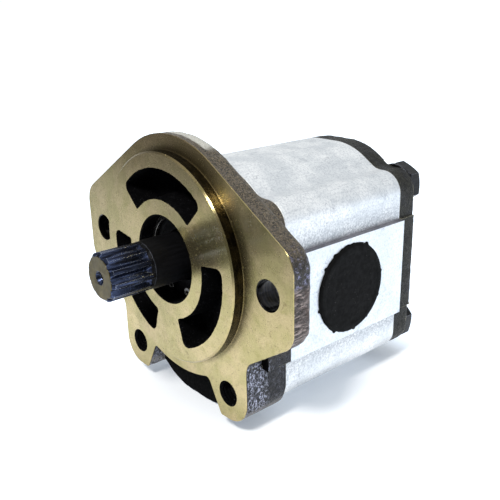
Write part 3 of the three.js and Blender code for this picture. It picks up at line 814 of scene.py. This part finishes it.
def ears_into(s):
    """The two lower screw ears, carried back from the plate to the body joint."""
    for side, (x, z) in zip((1, -1), ear_places()):
        corners = [(HALF_WIDTH, -33.5, 0.3), *EAR_CORNERS, (20.2, -48.5, 0.3), (30, -33.5, 0.3)]
        outline = resampled(rounded([(side * cx, cz, radius) for cx, cz, radius in corners]), 0.8)
        straight = [(y, 0.0) for y in range(6, 19, 2)]
        levels = [(1, 0.3), (2, 0.06), (4, 0.02), *straight, (19.4, 0.1), (19.8, 0.4)]
        first, last = s.wall(outline, levels, 1, rough=0.25, seed=7 + side)
        a, b = s.turned([(TAP_RADIUS + 0.6, 1), (TAP_RADIUS + 0.6, 19.8)], x, z, 2, 72)
        s.cap(first, [a], 1)
        s.cap(last, [b], 1)


def mounting_flange():
    s = plate_shell()
    block_into(s)
    ears_into(s)
    piece("flange_casting", s, [IRON_FACE, IRON_CAST, IRON_POCKET_SHADE, IRON_DRILLED, IRON_REGISTER_SHADE], "housing",
          ["mounting_flange"])


# ---- body and rear cover
def port_cutter(port):
    """Spot face, threaded bore and passage of one port, as the shape that is cut away, along +Y."""
    cutter = Shell()
    profile = [
        (port["rim"] + 0.3, 2),
        (port["rim"] + 0.3, -SPOT_DEPTH),
        (port["bore"] + 0.9, -SPOT_DEPTH),
        (port["bore"], -SPOT_DEPTH - 0.9),
    ]
    profile += [(r, -y) for r, y in thread(port["bore"], 1.0, 1.8, 14, 2.1)]
    profile += [(port["bore"] - 0.4, -15), (port["bore"] - 0.4, -PORT_DEPTH), (port["passage"], -PORT_DEPTH),
                (port["passage"], PASSAGE_END - PAD_X)]
    cutter.lathe(profile, mark=1, count=112)
    turn = port_turn(port["side"])
    cutter.points = [tuple(turn @ Vector(p)) for p in cutter.points]
    return cutter


def port_turn(side):
    """Takes a piece built along +Y to the port pad on one side, pointing outwards (millimetres)."""
    return Matrix.Translation((side * PAD_X, PORT_Y, MID_Z)) @ Matrix.Rotation(-side * math.pi / 2, 4, "Z")


def pump_body():
    s = Shell()
    outline = resampled(pump_outline(PAD_X), 1.2)
    end = BODY_END
    levels = [(FLANGE_END, 0.06), (FLANGE_END + 0.06, 0.0), (end - 0.06, 0.0), (end, 0.06)]
    s.prism(outline, levels)
    # pads take mark 2; the ledges beside them take mark 3, the painted shadow
    for i, face in enumerate(s.faces):
        if all(abs(abs(s.points[v][0]) - PAD_X) < 0.02 for v in face):
            s.marks[i] = 2
        elif all(abs(abs(s.points[v][2] - MID_Z) - PAD_HALF_HEIGHT) < 0.13 for v in face):
            s.marks[i] = 3
    cutters = []
    for z in (0, -GEAR_DISTANCE):
        chamber = Shell()
        ends = [(CHAMBER_RADIUS, FLANGE_END + 0.2), (CHAMBER_RADIUS, BODY_END - 0.2)]
        chamber.lathe(ends, z=z, mark=1, count=96)
        cutters.append(chamber)
    cutters += [port_cutter(port) for port in PORTS.values()]
    piece("body_extrusion", s, [ALUMINIUM, BEARING_ALUMINIUM, ALUMINIUM_PAD, ALUMINIUM_LEDGE_SHADOW], "housing",
          ["pump_body"], cutters)


def rear_cover():
    s = Shell()
    outline = resampled(pump_outline(COVER_PAD_X), 0.9)
    end = COVER_END
    levels = [(BODY_END, 0.3), (BODY_END + 0.3, 0.0), (87.5, 0.0), (89.5, 0.0), (91.5, 0.0), (93.2, 0.0),
              (94.6, 0.06), (95.2, 0.3), (95.7, 0.8)]
    first, last = s.wall(outline, levels, 0, rough=0.2, seed=11)
    back = s.ring(inset(outline, 1.6), end)
    s.band(last, back, 0)
    s.cap(first)
    s.cap(back)
    cutters = []
    for name in HEX_TURN:
        x, z = screw_place(name)
        spot = Shell()
        spot.lathe([(SPOT_FACE_RADIUS, WASHER_START), (SPOT_FACE_RADIUS + 0.25, COVER_END + 1)], x, z, 1, 96)
        cutters.append(spot)
    piece("cover_casting", s, [IRON_COVER, SCREW_BLACK], "housing", ["rear_cover"], cutters)


# ---- shafts
def gear_outline(tooth_up):
    pitch_radius = GEAR_DISTANCE / 2
    base_radius = pitch_radius * math.cos(PRESSURE_ANGLE)
    half_pitch = (math.pi / GEAR_TEETH - TOOTH_THINNING / pitch_radius) / 2

    def involute(angle):
        return math.tan(angle) - angle

    def half_angle(radius):
        pressure = math.acos(min(1, base_radius / radius))
        return half_pitch + involute(PRESSURE_ANGLE) - involute(pressure)

    steps = 9
    waist = half_angle(base_radius) * 0.94
    flank = [(GEAR_ROOT, waist + 0.03), (GEAR_ROOT + 0.25, waist)]
    flank_start = max(base_radius, GEAR_ROOT + 0.5)
    for k in range(steps + 1):
        radius = flank_start + (GEAR_TIP - flank_start) * k / steps
        flank.append((radius, half_angle(radius)))
    points = []
    for tooth in range(GEAR_TEETH):
        middle = math.pi / 2 + (tooth + (0 if tooth_up else 0.5)) * 2 * math.pi / GEAR_TEETH
        points += [polar(radius, middle - half) for radius, half in flank]
        points += [polar(radius, middle + half) for radius, half in reversed(flank)]
    return points


def gear_into(s, tooth_up, mark):
    levels = [(GEAR_START, 0.25), (GEAR_START + 0.25, 0), (GEAR_END - 0.25, 0), (GEAR_END, 0.25)]
    s.prism(gear_outline(tooth_up), levels, mark)


def spline_points():
    """Points (radius, angle) round the spline, with eased roots and tips."""
    points = []
    for tooth in range(SPLINE_TEETH):
        turn = SPLINE_TURN + tooth * 2 * math.pi / SPLINE_TEETH
        half = [(SPLINE_ROOT, 2.05), (SPLINE_ROOT + 0.06, 1.86), (SPLINE_ROOT + 0.3, 1.66),
                (SPLINE_TIP - 0.75, 1.25), (SPLINE_TIP - 0.2, 0.98), (SPLINE_TIP - 0.04, 0.82),
                (SPLINE_TIP, 0.55), (SPLINE_TIP, 0.2)]
        points += [(radius, turn - math.asin(offset / radius)) for radius, offset in half]
        points += [(radius, turn + math.asin(offset / radius)) for radius, offset in reversed(half)]
    return points


def drive_gear_shaft():
    """Marks: 0 blackened, 1 turned end face, 2 ground journal, 3 neck in painted shade."""
    s = Shell()
    spline = spline_points()

    def section(low, high):
        return [polar(min(max(radius, low), high), angle) for radius, angle in spline]

    tip = SHAFT_TIP
    run_out = tip + SPLINE_LENGTH
    stations = [(tip, 0, 7.95), (tip + 0.15, 0, 8.15), (tip + 1.15, 0, SPLINE_TIP), (tip + 4, 0, 20),
                (run_out - 3.4, 0, 20), (run_out - 2.2, 7.95, 20), (run_out - 1.2, 8.4, 20),
                (run_out - 0.45, 8.9, 20), (run_out, 9.25, 9.35)]
    rings = [s.ring(section(low, high), y) for y, low, high in stations]
    s.band(rings[0], rings[1], 1)
    # the last bands of the spline's run-out take the neck's painted shade
    for k, (a, b) in enumerate(zip(rings[1:], rings[2:])):
        s.band(a, b, 3 if k > 4 else 0)
    s.cap(rings[-1], mark=3)
    drill = [(2.7, tip), (2.45, tip + 0.15), (1.5, tip + 1.5), (1.5, tip + 5.6), (0.2, tip + 6)]
    mouth, bottom = s.turned(drill, mark=0, count=48)
    s.cap(rings[0], [mouth], 1)
    s.cap(bottom)
    s.lathe([(9.0, run_out - 0.2), (9.25, run_out + 0.1), (9.25, run_out + 2.2),
             (JOURNAL_RADIUS, run_out + 2.8), (JOURNAL_RADIUS, 19.5)], mark=3, count=128)
    s.lathe([(JOURNAL_RADIUS - 0.05, 19.4), (JOURNAL_RADIUS, GEAR_START + 0.1)], mark=2)
    s.lathe([(JOURNAL_RADIUS, GEAR_END - 0.1), (JOURNAL_RADIUS, BODY_END - 1.8),
             (JOURNAL_RADIUS - 0.8, BODY_END - 1)], mark=2)
    gear_into(s, True, 2)
    piece("drive_shaft_and_gear", s, [SHAFT_BLACK, SHAFT_END, SHAFT_GROUND, NECK_SHADE], "drive",
          ["drive_gear_shaft"], sharp=32)


def idler_gear_shaft():
    s = Shell()
    front = FLANGE_END + 1
    back = BODY_END - 1
    eased = JOURNAL_RADIUS - 0.8
    s.lathe([(eased, front), (JOURNAL_RADIUS, front + 0.8), (JOURNAL_RADIUS, GEAR_START + 0.1)])
    s.lathe([(JOURNAL_RADIUS, GEAR_END - 0.1), (JOURNAL_RADIUS, back - 0.8), (eased, back)])
    gear_into(s, False, 0)
    piece("idler_shaft_and_gear", s, [SHAFT_GROUND], "idler", ["idler_gear_shaft"],
          turn=Matrix.Translation((0, 0, -GEAR_DISTANCE * MM)), sharp=32)


# ---- seal, ring, screws
def shaft_seal():
    """Lip seal, its case covered with rubber."""
    s = Shell()
    start = depth("shaft_seal", 0)
    end = depth("shaft_seal", 1)
    case = [(16.9, end), (16.9, start + 0.5), (16.6, start + 0.08), (16.2, start), (14.6, start + 0.05),
            (14.2, start + 0.5), (13.9, start + 0.62)]
    lip = [(13.2, start + 0.6), (12.4, start + 0.85), (11.4, start + 0.7), (10.8, start + 0.62),
           (10.3, start + 0.75), (10.02, start + 1.2), (9.66, start + 2.6), (11.2, start + 3.2),
           (11.2, end - 1), (15.1, end - 1), (15.1, end)]
    a, b = s.turned(case + lip, mark=0, count=144)
    s.band(b, a, 0)
    piece("lip_seal", s, [RUBBER], "housing", ["shaft_seal"])


def retaining_ring():
    """Snap ring with two eyed lugs either side of its gap."""
    s = Shell()
    start = depth("seal_retaining_ring", 0)
    end = depth("seal_retaining_ring", 1)
    half_gap = 16
    levels = [(start, 0.12), (start + 0.12, 0), (end - 0.12, 0), (end, 0.12)]
    loop = resampled(sector(15.3, 18.1, half_gap - 90, 270 - half_gap, 0.5, 0.5), 0.8)
    s.prism(loop, levels)
    for side in (1, -1):
        angle = math.radians(-90 + side * (half_gap + 7))
        x, z = polar(14.9, angle)
        outer_first, outer_last = s.wall(circle(2.1, x, z, 48), levels)
        eye = [(1.0, start), (0.9, start + 0.12), (0.9, end - 0.12), (1.0, end)]
        eye_first, eye_last = s.turned(eye, x, z, 0, 48)
        s.cap(outer_first, [eye_first])
        s.cap(outer_last, [eye_last])
    piece("snap_ring", s, [SPRING_STEEL], "housing", ["seal_retaining_ring"])


def screw_place(name):
    x = SCREW_X if name.endswith("right") else -SCREW_X
    return x, MID_Z + (SCREW_RISE if name.startswith("upper") else -SCREW_RISE)


def hexagon_head(s, turn, start, end):
    """A chamfered hexagon head with a round bearing face below it."""
    inner = ACROSS_FLATS / 2 - 0.35
    count = 120
    outline, tops = [], []
    for k in range(count):
        angle = 2 * math.pi * k / count
        radius = ACROSS_FLATS / 2 / math.cos(angle % (math.pi / 3) - math.pi / 6)
        outline.append((radius, angle + math.radians(turn)))
        tops.append(end - max(0, radius - inner) * math.tan(HEX_CHAMFER))

    def place(radius_of, y_of):
        first = len(s.points)
        for k, (radius, angle) in enumerate(outline):
            x, z = polar(radius_of(radius), angle)
            s.points.append((x, y_of(k), z))
        return list(range(first, len(s.points)))

    rings = [
        place(lambda r: ACROSS_FLATS / 2 - 0.3, lambda k: start),
        place(lambda r: ACROSS_FLATS / 2 - 0.3, lambda k: start + 0.35),
        place(lambda r: r, lambda k: start + 0.4),
        place(lambda r: r, lambda k: tops[k]),
        place(lambda r: inner, lambda k: end),
        place(lambda r: inner - 1.2, lambda k: end),
        place(lambda r: inner - 1.5, lambda k: end - 0.25),
    ]
    for a, b in zip(rings, rings[1:]):
        s.band(a, b)
    s.cap(rings[0])
    s.cap(rings[-1])


def screws_and_washers():
    for name, turn in HEX_TURN.items():
        x, z = screw_place(name)
        at = Matrix.Translation((x * MM, 0, z * MM))
        tip = depth(f"{name}_screw", 0)
        s = Shell()
        hexagon_head(s, turn, WASHER_END, HEAD_END)
        crest = SCREW_RADIUS - 0.02
        profile = [(3.5, tip), (crest - 0.4, tip + 0.6)] + thread(crest, 0.5, tip + 1, tip + 17)
        profile += [(crest, tip + 18), (crest, WASHER_END + 0.2)]
        s.lathe(profile, count=72)
        piece(f"{name}_hex_screw", s, [SCREW_BLACK], "housing", [f"{name}_screw"], turn=at)
        ring = Shell()
        hole = SCREW_RADIUS + 0.7
        profile = [(hole, WASHER_START), (WASHER_RADIUS - 0.2, WASHER_START),
                   (WASHER_RADIUS, WASHER_START + 0.2), (WASHER_RADIUS, WASHER_END - 0.35),
                   (WASHER_RADIUS - 0.35, WASHER_END), (hole, WASHER_END)]
        a, b = ring.turned(profile, count=96)
        ring.band(b, a)
        piece(f"{name}_hard_washer", ring, [SCREW_BLACK], "housing", [f"{name}_washer"],
              turn=at)


# ---- port caps
def ragged(radius, seed, nubs):
    """The rim of a moulded cap: torn flash round a circle, with a few longer tabs."""
    loop = []
    count = 300
    for k in range(count):
        angle = 2 * math.pi * k / count
        place = Vector((math.cos(angle), math.sin(angle), seed))
        cut = 0.9 + 0.35 * noise.noise(place * 2.6) + 0.35 * noise.noise(place * 11)
        for centre, width, tall in nubs:
            gap = abs((angle - math.radians(centre) + math.pi) % (2 * math.pi) - math.pi)
            cut -= tall * max(0, 1 - (gap / math.radians(width)) ** 2)
        loop.append(polar(radius - max(0.0, cut), angle))
    return loop


def port_plug(name, port):
    """A cap with a dished face, a shank with one groove, and torn flash that lies on the pad."""
    s = Shell()
    rim = port["rim"]
    shank = port["bore"] - 0.3
    face = PLUG_FACE - PAD_X
    nubs = ((38, 3, 0.9), (58, 3, 0.7), (118, 4, 0.9), (172, 3, 0.8), (205, 4, 0.9), (236, 3, 0.9),
            (262, 4, 0.9), (300, 3, 0.7), (345, 3, 0.9))
    torn = ragged(rim + FLASH_WIDTH, port["seed"], nubs)
    edge = circle(rim, count=len(torn))
    levels = [(edge, -SPOT_DEPTH, 0.2), (edge, 0.04, 0.0), (torn, 0.05, 0.0), (torn, 0.2, 0.06),
              (edge, 0.5, -0.3), (edge, 0.85, 0.0), (edge, face - 0.12, 0.45), (edge, face, 0.9)]
    rings = [s.ring(inset(loop, amount), y) for loop, y, amount in levels]
    dish = [s.ring(circle(rim * k, count=len(torn)), y) for k, y in ((0.86, face), (0.83, face - 0.18))]
    for a, b in zip(rings + dish[:1], rings[1:] + dish):
        s.band(a, b)
    s.cap(rings[0])
    s.cap(dish[-1])
    profile = [(shank, -SPOT_DEPTH + 0.1), (shank, -2.2), (shank - 0.25, -2.5), (shank - 0.25, -3.4),
               (shank, -3.7), (shank, -9.8), (shank - 0.8, -11), (shank - 1.8, -11), (shank - 1.8, -1.6)]
    s.lathe(profile)
    turn = port_turn(port["side"])
    turn.translation = turn.translation * MM
    piece(f"{name}_moulded_cap", s, [PLASTIC], f"{name}_cap", [f"{name}_port_plug"],
          turn=turn)


# ---- pieces kept from the frame
def kept_pieces():
    """Sealed inner pieces keep their CAD shape and get the finished materials."""
    kept = [(SPRING_STEEL, "seal_garter_spring")]
    for end in ("front", "rear"):
        kept += [(RUBBER, f"{end}_face_seal"), (RUBBER, f"{end}_balance_seal"),
                 (BACKUP, f"{end}_backup_ring"), (BEARING_ALUMINIUM, f"{end}_bearing_block"),
                 (BRONZE, f"{end}_drive_bush"), (BRONZE, f"{end}_idler_bush"),
                 (DOWEL_STEEL, f"{end}_left_dowel"), (DOWEL_STEEL, f"{end}_right_dowel")]
    for material, name in kept:
        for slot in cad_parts[name].material_slots:
            slot.material = material


# ---- studio
ROOM_DIM = 0.13
SWEEP_BRIGHT = 0.95
CEILING_BRIGHT = 1.05
BACKDROP_WHITE = 1.1
KEY_WATTS = 8
FLOOR_GLOW = 0.26
CAMERA_DEGREES = (49.374, 19.335, -1.240)
CAMERA_LENS = 49.16
CAMERA_DISTANCE = 263.268
CAMERA_SHIFT = (29.111, 2.546)


def floor():
    """White floor. Shadows show close round the pump; farther out it is evenly lit, and dim to the front."""
    mesh = bpy.data.meshes.new("floor")
    half = 6
    corners = [(-half, -half, 0), (half, -half, 0), (half, half, 0), (-half, half, 0)]
    mesh.from_pydata(corners, [], [(0, 1, 2, 3)])
    obj = placed("floor", mesh)
    g = Graph("white_floor", specular=0.1)
    x, y, _ = g.split()
    beyond_x = g.math("SUBTRACT", g.math("ABSOLUTE", x), 42)
    beyond_y = g.math("SUBTRACT", g.math("ABSOLUTE", g.math("SUBTRACT", y, 12)), 48)
    away = g.math("MAXIMUM", beyond_x, beyond_y)
    glow = g.ramp(away, 2, 24, FLOOR_GLOW, 0.95)
    front = g.math("SUBTRACT", g.times(x, 0.05), y)
    dim = g.ramp(front, 40, 280, 1.0, ROOM_DIM)
    seen = g.node("ShaderNodeLightPath").outputs["Is Camera Ray"]
    share = g.math("MAXIMUM", seen, dim)
    g.feed(g.shader.inputs["Emission Strength"], g.times(glow, share))
    g.shader.inputs["Emission Color"].default_value = (0.72, 0.84, 1.0, 1)
    tone = g.ramp(g.noise(60, 2), 0.3, 0.7, 0.0, 1.0)
    white = g.mix(tone, (0.8, 0.8, 0.8, 1), (0.82, 0.82, 0.82, 1))
    g.base = g.mix(share, (0, 0, 0, 1), white)
    obj.data.materials.append(g.finish(0.9))


def area_light(name, direction, distance, size, watts, tint):
    light = bpy.data.lights.new(name, "AREA")
    light.shape = "DISK"
    light.size = size
    light.energy = watts
    light.color = tint
    obj = placed(name, light)
    toward = Vector(direction).normalized()
    target = ORIGIN + Vector((0, 20 * MM, -15 * MM))
    obj.location = target + toward * distance
    obj.rotation_euler = toward.to_track_quat("Z", "Y").to_euler()


def studio():
    """White sweep behind and below, a dim room in front, one soft light above the front."""
    world = bpy.data.worlds.new("studio")
    bpy.context.scene.world = world
    world.use_nodes = True
    n = Nodes(world.node_tree)
    background = n.tree.nodes["Background"]
    parts = n.node("ShaderNodeSeparateXYZ")
    n.feed(parts.inputs[0], n.node("ShaderNodeTexCoord").outputs["Generated"])
    sweep = n.ramp(parts.outputs[1], -0.25, 0.35, ROOM_DIM, SWEEP_BRIGHT)
    ceiling = n.ramp(parts.outputs[2], 0.35, 0.95, 0.0, CEILING_BRIGHT)
    level = n.node("ShaderNodeMix", data_type="FLOAT")
    n.feed(level.inputs[0], n.node("ShaderNodeLightPath").outputs["Is Camera Ray"])
    n.feed(level.inputs[2], n.math("MAXIMUM", sweep, ceiling))
    level.inputs[3].default_value = BACKDROP_WHITE
    n.feed(background.inputs["Strength"], level.outputs[0])
    background.inputs["Color"].default_value = (0.93, 0.97, 1.0, 1)
    area_light("key", (0.31, -0.60, 0.74), 0.9, 0.16, KEY_WATTS, (1.0, 0.98, 0.94))
    bpy.context.scene.view_settings.view_transform = "Standard"


def camera():
    """Three-quarter view from the front right, slightly above."""
    azimuth, elevation, roll = (math.radians(turn) for turn in CAMERA_DEGREES)
    back = Vector((math.sin(azimuth) * math.cos(elevation), -math.cos(azimuth) * math.cos(elevation),
                   math.sin(elevation)))
    right = Vector((math.cos(azimuth), math.sin(azimuth), 0))
    up = back.cross(right)
    right, up = (right * math.cos(roll) + up * math.sin(roll), up * math.cos(roll) - right * math.sin(roll))
    data = bpy.data.cameras.new("camera")
    data.sensor_width = 36
    data.lens = CAMERA_LENS
    data.clip_start = 0.01
    obj = placed("camera", data)
    stand = Matrix((right, up, back)).transposed().to_4x4()
    aside, above = CAMERA_SHIFT
    stand.translation = ORIGIN + (back * CAMERA_DISTANCE + right * aside + up * above) * MM
    obj.matrix_world = stand
    bpy.context.scene.camera = obj


camera()
mounting_flange()
pump_body()
rear_cover()
drive_gear_shaft()
idler_gear_shaft()
shaft_seal()
retaining_ring()
screws_and_washers()
for port_name, port_sizes in PORTS.items():
    port_plug(port_name, port_sizes)
kept_pieces()
floor()
studio()
